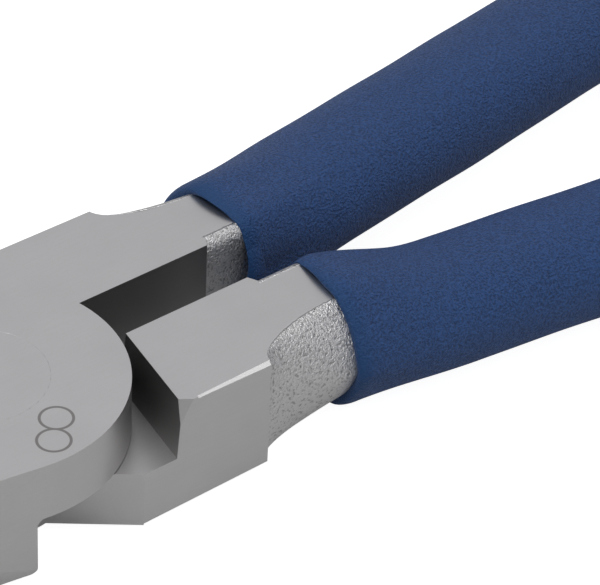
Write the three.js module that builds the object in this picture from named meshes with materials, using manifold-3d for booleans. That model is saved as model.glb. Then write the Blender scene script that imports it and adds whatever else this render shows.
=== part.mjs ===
// Wheeled mosaic glass nippers: two drop-forged lap-joint levers on one flush rivet, dipped vinyl
// grips on their tangs, and two round carbide cutting wheels clamped in the jaws by shoulder screws.
// Millimetres, +Z up. The origin is on the pivot axis, level with the underside of the head.
// +X runs from the pivot to the handles, and the wheels meet over the -X axis.

import * as THREE from 'three';
import Module from 'manifold-3d';
import { mergeVertices } from 'three/addons/utils/BufferGeometryUtils.js';
import { ConvexGeometry } from 'three/addons/geometries/ConvexGeometry.js';

const wasm = await Module();
wasm.setup();

// ---------------------------------------------------------------- driving dimensions

// Head: each lever is half as thick as the head where the two are lapped on the rivet.
const HEAD_THICKNESS = 12;
const LAP_GAP = 0.1;
const DISC_RADIUS = 13.7;
const HUB_RADIUS = 8.6;
const HUB_CLEARANCE = 0.3;

// Shank: the full-thickness block between the joint and the handle. Its outer side stands just
// proud of the joint disc.
const SHANK_STEP = 0.2;
const SHANK_INNER = 3;
const SHANK_FRONT = 8.15;
const SHANK_END = 22.2;
const SHANK_INNER_END = 28;
const SHANK_INNER_ROUND = 0.5;
const SHANK_CHAMFER = 0.36;
const STOP_GAP = 0.3;
const STOP_ANGLE = 10;
const STOP_DRAFT = 0.55;
const STOP_CORNER = 1.2;
const STOP_CORNER_DROP = 2.2;
const STOP_CORNER_SLANT = 0.4;
const FRONT_CUT_ANGLE = 38.1;

// Neck: the as-forged waist that carries the shank into the grip, flat above and below,
// nearly flat inside and bulged outside.
const NECK_END = 34.7;
const NECK_INNER = 3.2;
const NECK_BULGE = 0.3;
const NECK_FLAT_SETBACK = 4;
const NECK_INNER_ROUND = 1.3;
const NECK_SHOULDER = 0.35;
const NECK_SCOOP_SHORT = 2.7;
const NECK_MIN_BULGE = 0.05;
const NECK_FRONT_EXPONENT = 1.9;
const NECK_SIDE_EXPONENT = 1.3;

// Jaw: tapers from the joint, sweeps out under the wheel and ends in a thin round tongue.
const JAW_LEAVES_DISC = 9;
const JAW_TAPER = 4;
const JAW_SHOULDER = 6.7;
const JAW_WALL = 3.1;
const JAW_WALL_ROUND = 0.7;
const JAW_FACE_ANGLE = 4;
const JAW_FACET_WIDTH = 0.9;
const JAW_FACET_DEPTH = 3.6;
const JAW_FACET_RUN = 8.7;
const THROAT_START = 13;
const THROAT_DEPTH = 6.6;
const TONGUE_THICKNESS = 3.9;
const JAW_WEB = 3.8;

// Cutting wheel and the screw that clamps it.
const WHEEL_RADIUS = 11;
const WHEEL_THICKNESS = 3.9;
const WHEEL_BEVEL = 2.6;
const WHEEL_EDGE_LAND = 0.3;
const WHEEL_BORE_RADIUS = 3.06;
const WHEEL_OVERHANG = 3.5;
const WHEEL_REST_GAP = 2.8;
const WHEEL_SEAT_GAP = 0.05;
const WHEEL_POCKET_CLEARANCE = 0.5;
const SCREW_RUNNING_FIT = 0.06;
const SCREW_THREAD_RADIUS = 2.45;
const SCREW_HEAD_LEDGE = 0.2;
const SCREW_HEAD_HEIGHT = 2.7;
const SCREW_HEAD_CHAMFER = 0.4;
const SCREW_SOCKET_FLATS = 4;
const SCREW_SOCKET_DEPTH = 1.7;
const WASHER_WIDTH = 1.34;
const WASHER_THICKNESS = 0.9;
const WASHER_SPLIT = 0.8;
const WASHER_SPLIT_ANGLE = 35;

// Pivot rivet: a plain shank with two countersunk heads ground flush with the lever faces.
const RIVET_RADIUS = 4.2;
const RIVET_HEAD_RADIUS = 6.5;
const RIVET_HEAD_DEPTH = 2.2;
const RIVET_FIT = 0.05;

// Handle centre line: a cubic curve that leaves the neck at a small splay and ends parallel to
// the head. The bows say how far its two ends lie outside the middle of the neck.
const HANDLE_START = 31;
const HANDLE_START_BOW = -0.6;
const HANDLE_END_BOW = 14;
const HANDLE_SPLAY = 6.65;

// How far each handle stands off the middle of the head, on its own lever's outer side.
const HANDLE_RISE = { upper: 0.4, lower: 0.8 };

// Grip: a dipped vinyl sock. It follows the neck's own section at the mouth and is a plain
// oval further back.
const GRIP_START = 32.1;
const GRIP_END = 161;
const GRIP_HALF_WIDTH = 7.1;
const GRIP_HALF_HEIGHT = 5.3;
const MOUTH_WALL = 0.9;
const MOUTH_LENGTH = 14;
const GRIP_EXPONENT = 2.1;
const LIP_ROUND = 0.8;
const LIP_DRAW_IN = 0.4;
const GRIP_WALL_END = 5;
const GRIP_FIT = 0.3;

// Tang: the steel core inside the grip.
const TANG_ROOT_HALF_WIDTH = 5;
const TANG_ROOT_HALF_HEIGHT = 4.5;
const TANG_TIP_HALF_WIDTH = 3.6;
const TANG_TIP_HALF_HEIGHT = 3.2;
const TANG_TAPER_LENGTH = 18;
const TANG_EXPONENT = 2.4;

// Facet counts of the round shapes.
const DISC_SEGMENTS = 108;
const WHEEL_SEGMENTS = 72;
const BORE_SEGMENTS = 36;
const CURVE_POINTS = 14;
const GRIP_POINTS = 44;
const GRIP_STEPS = 9;
const TANG_POINTS = 20;
const TANG_STEPS = 10;
const LIP_STEPS = 3;
const MOUTH_STEPS = 7;
const DOME_STEPS = 5;
const NECK_STEPS = 14;
const NECK_SIDE_POINTS = 20;
const NECK_CORNER_POINTS = 4;
const SCOOP_POINTS = 8;
const ROUND_POINTS = 6;

// ---------------------------------------------------------------- derived places

const UPPER_LAP = (HEAD_THICKNESS + LAP_GAP) / 2;
const SHANK_OUTER = DISC_RADIUS + SHANK_STEP;
const NECK_SIDE = SHANK_OUTER + NECK_BULGE;
const NECK_FLAT_EDGE = SHANK_OUTER - NECK_FLAT_SETBACK;
const NECK_MIDDLE = (NECK_INNER + NECK_SIDE) / 2;
const TONGUE_RADIUS = WHEEL_RADIUS - WHEEL_OVERHANG;
const WHEEL_CENTRE_X = -(DISC_RADIUS + JAW_WEB + WHEEL_POCKET_CLEARANCE + WHEEL_RADIUS);
const WHEEL_CENTRE_Y = WHEEL_RADIUS + WHEEL_REST_GAP / 2;
const WHEEL_BASE = TONGUE_THICKNESS + WHEEL_SEAT_GAP;
const WHEEL_TOP = WHEEL_BASE + WHEEL_THICKNESS;
const WASHER_BASE = WHEEL_TOP + WHEEL_SEAT_GAP;
const SCREW_SHOULDER_RADIUS = WHEEL_BORE_RADIUS - SCREW_RUNNING_FIT;
const SCREW_HEAD_BASE = WASHER_BASE + WASHER_THICKNESS;
const WASHER_RADIUS = WHEEL_BORE_RADIUS + WASHER_WIDTH;
const SCREW_HEAD_RADIUS = WASHER_RADIUS + SCREW_HEAD_LEDGE;
const STOP_DISTANCE = DISC_RADIUS + STOP_GAP;
const CUT_MARGIN = 20;
const CUT_LENGTH = 3 * CUT_MARGIN;
const OVERCUT = 1;
const SKIM = 0.01;
const radians = THREE.MathUtils.degToRad;

// ---------------------------------------------------------------- solids and booleans

function toSolid(geometry) {
  const bare = geometry.clone();
  bare.deleteAttribute('normal');
  bare.deleteAttribute('uv');
  const merged = mergeVertices(bare, 1e-4);
  const vertProperties = new Float32Array(merged.attributes.position.array);
  const triVerts = new Uint32Array(merged.index.array);
  return new wasm.Manifold(new wasm.Mesh({ numProp: 3, vertProperties, triVerts }));
}

function toGeometry(solid) {
  const mesh = solid.getMesh();
  const geometry = new THREE.BufferGeometry();
  geometry.setAttribute('position', new THREE.BufferAttribute(mesh.vertProperties, 3));
  geometry.setIndex(new THREE.BufferAttribute(mesh.triVerts, 1));
  geometry.computeVertexNormals();
  return geometry;
}

// A flat shape in plan, standing from one height to another.
function prism(shape, bottom, top) {
  const options = { depth: top - bottom, bevelEnabled: false, curveSegments: CURVE_POINTS };
  const geometry = new THREE.ExtrudeGeometry(shape, options);
  geometry.translate(0, 0, bottom);
  return toSolid(geometry);
}

function polygon(points) {
  return new THREE.Shape(points.map(([x, y]) => new THREE.Vector2(x, y)));
}

function cylinder(radius, bottom, top, segments, x = 0, y = 0) {
  const geometry = new THREE.CylinderGeometry(radius, radius, top - bottom, segments);
  geometry.rotateX(Math.PI / 2);
  geometry.translate(x, y, (bottom + top) / 2);
  return toSolid(geometry);
}

// A profile of (radius, height) points turned about the vertical axis through (x, y).
function turned(profile, segments, x = 0, y = 0) {
  const points = profile.map(([radius, height]) => new THREE.Vector2(radius, height));
  const geometry = new THREE.LatheGeometry(points, segments);
  geometry.rotateX(Math.PI / 2);
  geometry.translate(x, y, 0);
  return toSolid(geometry);
}

function wedge(points) {
  return toSolid(new ConvexGeometry(points.map((point) => new THREE.Vector3(...point))));
}

// A skin through closed rings of points, every ring with the same count, capped at both ends.
function loft(rings) {
  const count = rings[0].length;
  const positions = rings.flat().flatMap((point) => point.toArray());
  const middles = [rings[0], rings.at(-1)].map((ring) =>
    ring.reduce((sum, point) => sum.add(point), new THREE.Vector3()).divideScalar(count));
  positions.push(...middles[0].toArray(), ...middles[1].toArray());
  const firstMiddle = rings.length * count;
  const index = [];
  for (let ring = 0; ring < rings.length - 1; ring += 1) {
    for (let i = 0; i < count; i += 1) {
      const here = ring * count + i;
      const next = ring * count + ((i + 1) % count);
      index.push(here, next, next + count, here, next + count, here + count);
    }
  }
  for (let i = 0; i < count; i += 1) {
    const next = (i + 1) % count;
    const last = (rings.length - 1) * count;
    index.push(firstMiddle, next, i, firstMiddle + 1, last + i, last + next);
  }
  const geometry = new THREE.BufferGeometry();
  geometry.setAttribute('position', new THREE.Float32BufferAttribute(positions, 3));
  geometry.setIndex(index);
  return toSolid(geometry);
}

// ---------------------------------------------------------------- handle sections

const handleLength = GRIP_END + OVERCUT - HANDLE_START;
const handleThird = handleLength / 3;
const handleStart = new THREE.Vector3(HANDLE_START, NECK_MIDDLE + HANDLE_START_BOW, HEAD_THICKNESS / 2);
const handleEnd = new THREE.Vector3(HANDLE_START + handleLength, NECK_MIDDLE + HANDLE_END_BOW,
  HEAD_THICKNESS / 2);
const handleCurve = new THREE.CubicBezierCurve3(
  handleStart,
  new THREE.Vector3(handleThird, handleThird * Math.tan(radians(HANDLE_SPLAY)), 0).add(handleStart),
  new THREE.Vector3(-handleThird, 0, 0).add(handleEnd),
  handleEnd,
);

// The point on the handle's centre line at a distance x from the pivot, and the direction across
// it. The curve's control points stand at thirds of its length, so x runs evenly along it.
function handleAt(x) {
  const t = (x - HANDLE_START) / handleLength;
  const along = handleCurve.getTangent(t);
  return { point: handleCurve.getPoint(t), side: new THREE.Vector3(-along.y, along.x, 0) };
}

const blend = (from, to, t) => from + (to - from) * THREE.MathUtils.smoothstep(t, 0, 1);

// A ring square to the centre line: reach gives its radius at each angle from the outer side.
// The line climbs by rise over the length of the mouth.
function ringAround(x, rise, count, reach) {
  const { point, side } = handleAt(x);
  point.z += blend(0, rise, (x - GRIP_START) / MOUTH_LENGTH);
  return Array.from({ length: count }, (unused, i) => {
    const angle = (2 * Math.PI * (i + 0.5)) / count;
    const radius = reach(angle);
    return point.clone()
      .addScaledVector(side, radius * Math.cos(angle))
      .add(new THREE.Vector3(0, 0, radius * Math.sin(angle)));
  });
}

// Polar radius of a superellipse.
function ovalReach(angle, halfWidth, halfHeight, exponent) {
  const across = Math.abs(Math.cos(angle) / halfWidth) ** exponent;
  const up = Math.abs(Math.sin(angle) / halfHeight) ** exponent;
  return (across + up) ** (-1 / exponent);
}

function gripRing(x, rise, shrink) {
  const t = (x - GRIP_START) / MOUTH_LENGTH;
  return ringAround(x, rise, GRIP_POINTS, (angle) => {
    const plain = ovalReach(angle, GRIP_HALF_WIDTH, GRIP_HALF_HEIGHT, GRIP_EXPONENT);
    return blend(neckReach(angle) + MOUTH_WALL, plain, t) - shrink;
  });
}

// Outer skin of a grip: a rounded lip, a plain run and a domed end.
function gripSkin(rise) {
  const rings = [];
  for (let step = 0; step <= LIP_STEPS; step += 1) {
    const angle = (Math.PI / 2) * (step / LIP_STEPS);
    rings.push(gripRing(GRIP_START + LIP_ROUND * (1 - Math.cos(angle)), rise,
      LIP_DRAW_IN * (1 - Math.sin(angle))));
  }
  for (let step = 1; step <= MOUTH_STEPS; step += 1) {
    rings.push(gripRing(GRIP_START + LIP_ROUND + (MOUTH_LENGTH * step) / MOUTH_STEPS, rise, 0));
  }
  const plainStart = GRIP_START + LIP_ROUND + MOUTH_LENGTH;
  const plainLength = GRIP_END - GRIP_HALF_WIDTH - plainStart;
  for (let step = 1; step <= GRIP_STEPS; step += 1) {
    rings.push(gripRing(plainStart + (plainLength * step) / GRIP_STEPS, rise, 0));
  }
  for (let step = 1; step <= DOME_STEPS; step += 1) {
    const angle = (Math.PI / 2) * (step / (DOME_STEPS + 0.4));
    const scale = Math.cos(angle);
    rings.push(ringAround(GRIP_END - GRIP_HALF_WIDTH * (1 - Math.sin(angle)), rise, GRIP_POINTS,
      (turn) => scale * ovalReach(turn, GRIP_HALF_WIDTH, GRIP_HALF_HEIGHT, GRIP_EXPONENT)));
  }
  return loft(rings);
}

// Steel core of a handle behind the neck. The grip's cavity is the same core, grown by its fit.
function tang(rise, grow) {
  const start = NECK_END - OVERCUT;
  const end = GRIP_END - GRIP_WALL_END;
  const rings = [];
  for (let step = 0; step <= TANG_STEPS; step += 1) {
    const x = start + (end + grow - start) * (step / TANG_STEPS) ** 1.5;
    const t = (x - start) / TANG_TAPER_LENGTH;
    const halfWidth = blend(TANG_ROOT_HALF_WIDTH, TANG_TIP_HALF_WIDTH, t) + grow;
    const halfHeight = blend(TANG_ROOT_HALF_HEIGHT, TANG_TIP_HALF_HEIGHT, t) + grow;
    rings.push(ringAround(x, rise, TANG_POINTS, (angle) =>
      ovalReach(angle, halfWidth, halfHeight, TANG_EXPONENT)));
  }
  return loft(rings);
}

// ---------------------------------------------------------------- neck

// How far the neck has changed from the square shank to its own section: the scoop is a
// quarter round in plan, steep where it leaves the shank and flat where it meets the neck.
function scoop(x) {
  const length = NECK_END - NECK_SCOOP_SHORT - SHANK_END;
  const t = THREE.MathUtils.clamp((x - SHANK_END) / length, 0, 1);
  return Math.sqrt(1 - (1 - t) ** 2);
}

const flatEdgeAt = (x) => SHANK_OUTER + (NECK_FLAT_EDGE - SHANK_OUTER) * scoop(x);

// Ring across the neck at x: inner side, flat top, outer side that bulges to a soft ridge at
// mid height, and flat underside.
function neckRing(x, grow) {
  const half = HEAD_THICKNESS / 2;
  const height = half + grow;
  const inner = NECK_INNER - grow;
  const round = NECK_INNER_ROUND + grow;
  const edge = Math.min(flatEdgeAt(x), SHANK_OUTER - SHANK_CHAMFER);
  const t = THREE.MathUtils.clamp((x - SHANK_END) / (NECK_END - SHANK_END), 0, 1);
  const side = blend(SHANK_OUTER - NECK_SHOULDER, NECK_SIDE, t) + grow;
  const bulge = Math.max(side - edge, NECK_MIN_BULGE);
  const power = 2 / blend(NECK_FRONT_EXPONENT, NECK_SIDE_EXPONENT, t);
  const ring = [];
  for (let i = 0; i <= NECK_SIDE_POINTS; i += 1) {
    const angle = -Math.PI / 2 + (Math.PI * i) / NECK_SIDE_POINTS;
    const out = Math.abs(Math.cos(angle)) ** power;
    const up = Math.sign(angle) * Math.abs(Math.sin(angle)) ** power;
    ring.push([edge + bulge * out, height * up]);
  }
  for (const corner of [0, 1]) {
    for (let i = 0; i <= NECK_CORNER_POINTS; i += 1) {
      const angle = Math.PI / 2 + (Math.PI / 2) * (corner + i / NECK_CORNER_POINTS);
      const centre = corner === 0 ? height - round : round - height;
      ring.push([inner + round + round * Math.cos(angle), centre + round * Math.sin(angle)]);
    }
  }
  return ring.map(([y, z]) => new THREE.Vector3(x, y, half + z));
}

// The neck's full section about the point where the grip's centre line starts.
const neckOutline = neckRing(NECK_END, 0).map(({ y, z }) =>
  new THREE.Vector2(y, z - HEAD_THICKNESS / 2).sub(new THREE.Vector2(handleAt(GRIP_START).point.y, 0)));

// Polar radius of that section: the furthest point where a ray meets one of its edges.
function neckReach(angle) {
  const ray = new THREE.Vector2(Math.cos(angle), Math.sin(angle));
  let reach = 0;
  neckOutline.forEach((from, i) => {
    const edge = neckOutline[(i + 1) % neckOutline.length].clone().sub(from);
    const across = ray.cross(edge);
    const along = -ray.cross(from) / across;
    if (across !== 0 && along >= 0 && along <= 1) {
      reach = Math.max(reach, from.clone().addScaledVector(edge, along).dot(ray));
    }
  });
  return reach;
}

// The scooped neck. It starts inside the shank and ends under the grip's mouth.
function neck(grow) {
  const rings = [];
  for (let step = 0; step <= NECK_STEPS; step += 1) {
    const share = (step / NECK_STEPS) ** 1.5;
    rings.push(neckRing(SHANK_END + (NECK_END + grow - SHANK_END) * share, grow));
  }
  return loft(rings);
}

// ---------------------------------------------------------------- lever

// Everything below is written for the lever whose handle lies at +Y and whose joint disc is
// the upper one. The other lever is the same forging turned over about the X axis.

const cutDirection = new THREE.Vector2(1, 0).rotateAround(new THREE.Vector2(), radians(FRONT_CUT_ANGLE));
const cutCorner = new THREE.Vector2(SHANK_FRONT, SHANK_OUTER);

// Where the front cut runs into the hub.
function cutAtHub() {
  const along = cutCorner.dot(cutDirection);
  const clear = cutCorner.lengthSq() - along ** 2;
  const back = along - Math.sqrt(HUB_RADIUS ** 2 - clear);
  return cutCorner.clone().addScaledVector(cutDirection, -back);
}

// Plan of the room in front of the lever, where the other lever's jaw swings: it is bounded by
// the slanting front cut, the hub and the radial face between the jaws.
function frontRoom() {
  const faceSlope = Math.tan(radians(JAW_FACE_ANGLE));
  const hubPoint = cutAtHub();
  const outer = cutCorner.clone().addScaledVector(cutDirection, CUT_MARGIN);
  const reach = WHEEL_CENTRE_X - 2 * WHEEL_RADIUS;
  return polygon([
    [0, 0],
    [hubPoint.x, hubPoint.y],
    [outer.x, outer.y],
    [outer.x, outer.y + CUT_MARGIN],
    [reach, outer.y + CUT_MARGIN],
    [reach, reach * faceSlope],
  ]);
}

// Plan of the shank: square at the joint, with its outer edge scooped in to the neck's flat top
// and a small round where its inner face ends.
function shankPlan() {
  const scoopEnd = SHANK_INNER_END - SHANK_INNER_ROUND / 5;
  const outline = [
    [0, SHANK_INNER],
    [SHANK_INNER_END, SHANK_INNER],
    [SHANK_INNER_END + SHANK_INNER_ROUND, SHANK_INNER + 2 * SHANK_INNER_ROUND],
    [scoopEnd, NECK_INNER + NECK_INNER_ROUND + SHANK_INNER_ROUND],
  ];
  for (let step = 0; step <= SCOOP_POINTS; step += 1) {
    const x = SHANK_END + (scoopEnd - SHANK_END) * (1 - step / SCOOP_POINTS) ** 2;
    outline.push([x, flatEdgeAt(x)]);
  }
  outline.push([0, SHANK_OUTER]);
  return polygon(outline);
}

// Full-thickness block of the shank, relieved around the other lever's disc by the stop face.
function shank() {
  const stop = polygon([
    [-CUT_MARGIN, -OVERCUT],
    [STOP_DISTANCE + STOP_DRAFT, -OVERCUT],
    [STOP_DISTANCE, UPPER_LAP],
    [-CUT_MARGIN, UPPER_LAP],
  ]);
  const relief = new THREE.ExtrudeGeometry(stop, { depth: CUT_LENGTH, bevelEnabled: false });
  relief.translate(0, 0, -CUT_LENGTH / 2);
  relief.rotateX(Math.PI / 2);
  relief.rotateZ(radians(STOP_ANGLE));
  return prism(shankPlan(), 0, HEAD_THICKNESS)
    .subtract(toSolid(relief))
    .subtract(stopCorner())
    .subtract(edgeChamfer(0))
    .subtract(edgeChamfer(1));
}

// A small slanting facet that takes the sharp corner off the stop face at the outer side.
function stopCorner() {
  const frontX = (STOP_DISTANCE + STOP_DRAFT - SHANK_OUTER * Math.sin(radians(STOP_ANGLE)))
    / Math.cos(radians(STOP_ANGLE));
  const before = frontX - OVERCUT;
  const after = frontX + STOP_CORNER;
  return wedge([
    [before, SHANK_OUTER - STOP_CORNER - STOP_CORNER_SLANT, -SKIM],
    [after, SHANK_OUTER + SKIM, -SKIM],
    [after, SHANK_OUTER + OVERCUT, -SKIM],
    [before, SHANK_OUTER + OVERCUT, -SKIM],
    [before, SHANK_OUTER + OVERCUT, STOP_CORNER_DROP],
    [frontX - STOP_CORNER_SLANT / 2, SHANK_OUTER + SKIM, STOP_CORNER_DROP],
  ]);
}

// Long chamfer on an outer edge of the shank, wider towards the handle.
function edgeChamfer(top) {
  const z = top * HEAD_THICKNESS;
  const inward = top ? -1 : 1;
  const ends = [
    [top ? SHANK_FRONT : STOP_DISTANCE, SHANK_CHAMFER / 2],
    [SHANK_END + SHANK_CHAMFER, SHANK_CHAMFER],
  ];
  return wedge(ends.flatMap(([x, size]) => [
    [x, SHANK_OUTER - size, z - inward * SKIM],
    [x, SHANK_OUTER + SKIM, z + inward * size],
    [x, SHANK_OUTER + OVERCUT, z + inward * size],
    [x, SHANK_OUTER + OVERCUT, z - inward],
    [x, SHANK_OUTER - size, z - inward],
  ]));
}

const wheelCentre = new THREE.Vector2(WHEEL_CENTRE_X, -WHEEL_CENTRE_Y);
const sideAngle = radians(-90 - JAW_LEAVES_DISC);
const sideStart = new THREE.Vector2(Math.cos(sideAngle), Math.sin(sideAngle)).multiplyScalar(DISC_RADIUS);
const sideDirection = new THREE.Vector2(-Math.cos(radians(JAW_TAPER)), Math.sin(radians(JAW_TAPER)));
const sideEnd = sideStart.clone().addScaledVector(sideDirection, JAW_SHOULDER + sideStart.x);

const onTongue = (angle) => new THREE.Vector2(Math.cos(angle), Math.sin(angle))
  .multiplyScalar(TONGUE_RADIUS).add(wheelCentre);
const TONGUE_OUTER_ANGLE = radians(-75);
const TONGUE_INNER_ANGLE = radians(70);

// Draws the jaw's outer side on a path: straight from the disc, then a sweep out to the tongue.
function drawOuterSide(path) {
  const outer = onTongue(TONGUE_OUTER_ANGLE);
  const leaveSide = sideEnd.clone().addScaledVector(sideDirection, TONGUE_RADIUS);
  const tangent = new THREE.Vector2(-Math.sin(TONGUE_OUTER_ANGLE), Math.cos(TONGUE_OUTER_ANGLE));
  const meetTongue = outer.clone().addScaledVector(tangent, TONGUE_RADIUS);
  path.lineTo(sideEnd.x, sideEnd.y);
  path.bezierCurveTo(leaveSide.x, leaveSide.y, meetTongue.x, meetTongue.y, outer.x, outer.y);
}

// Plan of the jaw: its outer side, the tongue's round end, and the rounded throat that brings
// it back to the face between the jaws.
function jawPlan() {
  const inner = onTongue(TONGUE_INNER_ANGLE);
  const tangent = new THREE.Vector2(Math.sin(TONGUE_INNER_ANGLE), -Math.cos(TONGUE_INNER_ANGLE));
  const leaveTongue = inner.clone().addScaledVector(tangent, TONGUE_RADIUS / 2);
  const faceY = -THROAT_START * Math.tan(radians(JAW_FACE_ANGLE));
  const plan = new THREE.Shape();
  plan.moveTo(0, 0);
  plan.lineTo(sideStart.x, sideStart.y);
  drawOuterSide(plan);
  plan.absarc(wheelCentre.x, wheelCentre.y, TONGUE_RADIUS, TONGUE_OUTER_ANGLE, TONGUE_INNER_ANGLE, true);
  plan.bezierCurveTo(leaveTongue.x, leaveTongue.y, -THROAT_START - OVERCUT, -THROAT_DEPTH,
    -THROAT_START, faceY);
  return plan;
}

// Room for the other lever's half of the lap: its hub, and everything behind the jaw's wall.
function lapRoom() {
  const round = JAW_WALL_ROUND;
  const wall = new THREE.Shape();
  wall.moveTo(CUT_MARGIN, -OVERCUT);
  wall.lineTo(-JAW_WALL - round, -OVERCUT);
  wall.lineTo(-JAW_WALL - round, 0);
  wall.absarc(-JAW_WALL - round, round, round, -Math.PI / 2, 0, false);
  wall.lineTo(-JAW_WALL, UPPER_LAP - round);
  wall.absarc(-JAW_WALL + round, UPPER_LAP - round, round, Math.PI, Math.PI / 2, true);
  wall.lineTo(CUT_MARGIN, UPPER_LAP);
  const options = { depth: CUT_LENGTH, bevelEnabled: false, curveSegments: ROUND_POINTS };
  const behind = new THREE.ExtrudeGeometry(wall, options);
  behind.rotateX(Math.PI / 2);
  behind.translate(0, CUT_LENGTH / 2, 0);
  const hub = cylinder(HUB_RADIUS + HUB_CLEARANCE, -OVERCUT, UPPER_LAP, DISC_SEGMENTS);
  return toSolid(behind).add(hub);
}

// Slanting facet along an outer edge of the jaw: it grows from nothing at the joint, keeps its
// depth along the arm and dies out again where the tongue begins.
function jawFacet(top) {
  const path = new THREE.Path();
  path.moveTo(sideStart.x, sideStart.y);
  drawOuterSide(path);
  const length = path.getLength();
  const lean = JAW_FACET_WIDTH / JAW_FACET_DEPTH;
  const rings = [];
  for (let step = 0; step <= CURVE_POINTS; step += 1) {
    const along = step / CURVE_POINTS;
    const point = path.getPointAt(along);
    const heading = path.getTangentAt(along);
    const rise = Math.min(1, (along * length) / JAW_FACET_RUN, ((1 - along) * length) / JAW_FACET_RUN);
    const depth = JAW_FACET_DEPTH * rise;
    const corners = [
      [lean, -depth - OVERCUT],
      [lean + 3 * OVERCUT, -depth - OVERCUT],
      [lean + 3 * OVERCUT, OVERCUT],
      [-lean * (depth + OVERCUT), OVERCUT],
    ];
    const ring = corners.map(([out, up]) => new THREE.Vector3(point.x - heading.y * out,
      point.y + heading.x * out, top ? HEAD_THICKNESS + up : -up));
    rings.push(top ? ring : ring.reverse());
  }
  return loft(rings);
}

// The forged and machined lever before the wheel seat is milled.
function leverBlank(rise) {
  const plate = cylinder(DISC_RADIUS, UPPER_LAP, HEAD_THICKNESS, DISC_SEGMENTS);
  const hub = cylinder(HUB_RADIUS, UPPER_LAP, HEAD_THICKNESS, DISC_SEGMENTS);
  const room = prism(frontRoom(), -OVERCUT, HEAD_THICKNESS + OVERCUT);
  const jaw = prism(jawPlan(), 0, HEAD_THICKNESS)
    .subtract(lapRoom())
    .subtract(jawFacet(0))
    .subtract(jawFacet(1));
  const handle = shank().add(neck(0)).add(tang(rise, 0));
  return plate.add(handle).add(jaw).subtract(room).add(hub).subtract(rivetSolid(RIVET_FIT));
}

function rivetSolid(grow) {
  const head = RIVET_HEAD_RADIUS + grow;
  const shaft = RIVET_RADIUS + grow;
  const over = grow > 0 ? OVERCUT : 0;
  return turned([
    [0, -over],
    [head, -over],
    [head, 0],
    [shaft, RIVET_HEAD_DEPTH],
    [shaft, HEAD_THICKNESS - RIVET_HEAD_DEPTH],
    [head, HEAD_THICKNESS],
    [head, HEAD_THICKNESS + over],
    [0, HEAD_THICKNESS + over],
  ].filter((point, i, all) => i === 0 || point[0] !== all[i - 1][0] || point[1] !== all[i - 1][1]),
  BORE_SEGMENTS);
}

// The same solid turned over about the X axis, to the other side of the lap.
function turnedOver(solid) {
  const geometry = toGeometry(solid);
  geometry.rotateX(Math.PI);
  geometry.translate(0, 0, HEAD_THICKNESS);
  return toSolid(geometry);
}

// The wheel seat and its tapped hole, both cut from above in each jaw. side is -1 or 1 in Y.
function wheelSeat(side) {
  const y = side * WHEEL_CENTRE_Y;
  const pocket = cylinder(WHEEL_RADIUS + WHEEL_POCKET_CLEARANCE, TONGUE_THICKNESS,
    HEAD_THICKNESS + OVERCUT, WHEEL_SEGMENTS, WHEEL_CENTRE_X, y);
  const hole = cylinder(SCREW_THREAD_RADIUS + SCREW_RUNNING_FIT, -OVERCUT, HEAD_THICKNESS,
    BORE_SEGMENTS, WHEEL_CENTRE_X, y);
  return pocket.add(hole);
}

// ---------------------------------------------------------------- wheel, screw, washer, grip

function wheelSolid(side) {
  const middle = (WHEEL_BASE + WHEEL_TOP) / 2;
  const shoulder = WHEEL_RADIUS - WHEEL_BEVEL;
  return turned([
    [WHEEL_BORE_RADIUS, WHEEL_BASE],
    [shoulder, WHEEL_BASE],
    [WHEEL_RADIUS, middle - WHEEL_EDGE_LAND / 2],
    [WHEEL_RADIUS, middle + WHEEL_EDGE_LAND / 2],
    [shoulder, WHEEL_TOP],
    [WHEEL_BORE_RADIUS, WHEEL_TOP],
    [WHEEL_BORE_RADIUS, WHEEL_BASE],
  ], WHEEL_SEGMENTS, WHEEL_CENTRE_X, side * WHEEL_CENTRE_Y);
}

function screwSolid(side) {
  const y = side * WHEEL_CENTRE_Y;
  const headTop = SCREW_HEAD_BASE + SCREW_HEAD_HEIGHT;
  const body = turned([
    [0, SCREW_HEAD_CHAMFER],
    [SCREW_THREAD_RADIUS - SCREW_HEAD_CHAMFER, SCREW_HEAD_CHAMFER],
    [SCREW_THREAD_RADIUS, 2 * SCREW_HEAD_CHAMFER],
    [SCREW_THREAD_RADIUS, WHEEL_BASE],
    [SCREW_SHOULDER_RADIUS, WHEEL_BASE],
    [SCREW_SHOULDER_RADIUS, SCREW_HEAD_BASE],
    [SCREW_HEAD_RADIUS, SCREW_HEAD_BASE],
    [SCREW_HEAD_RADIUS, headTop - SCREW_HEAD_CHAMFER],
    [SCREW_HEAD_RADIUS - SCREW_HEAD_CHAMFER, headTop],
    [0, headTop],
  ], BORE_SEGMENTS, WHEEL_CENTRE_X, y);
  const socketRadius = SCREW_SOCKET_FLATS / 2 / Math.cos(Math.PI / 6);
  const socket = cylinder(socketRadius, headTop - SCREW_SOCKET_DEPTH, headTop + OVERCUT, 6,
    WHEEL_CENTRE_X, y);
  return body.subtract(socket);
}

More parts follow.
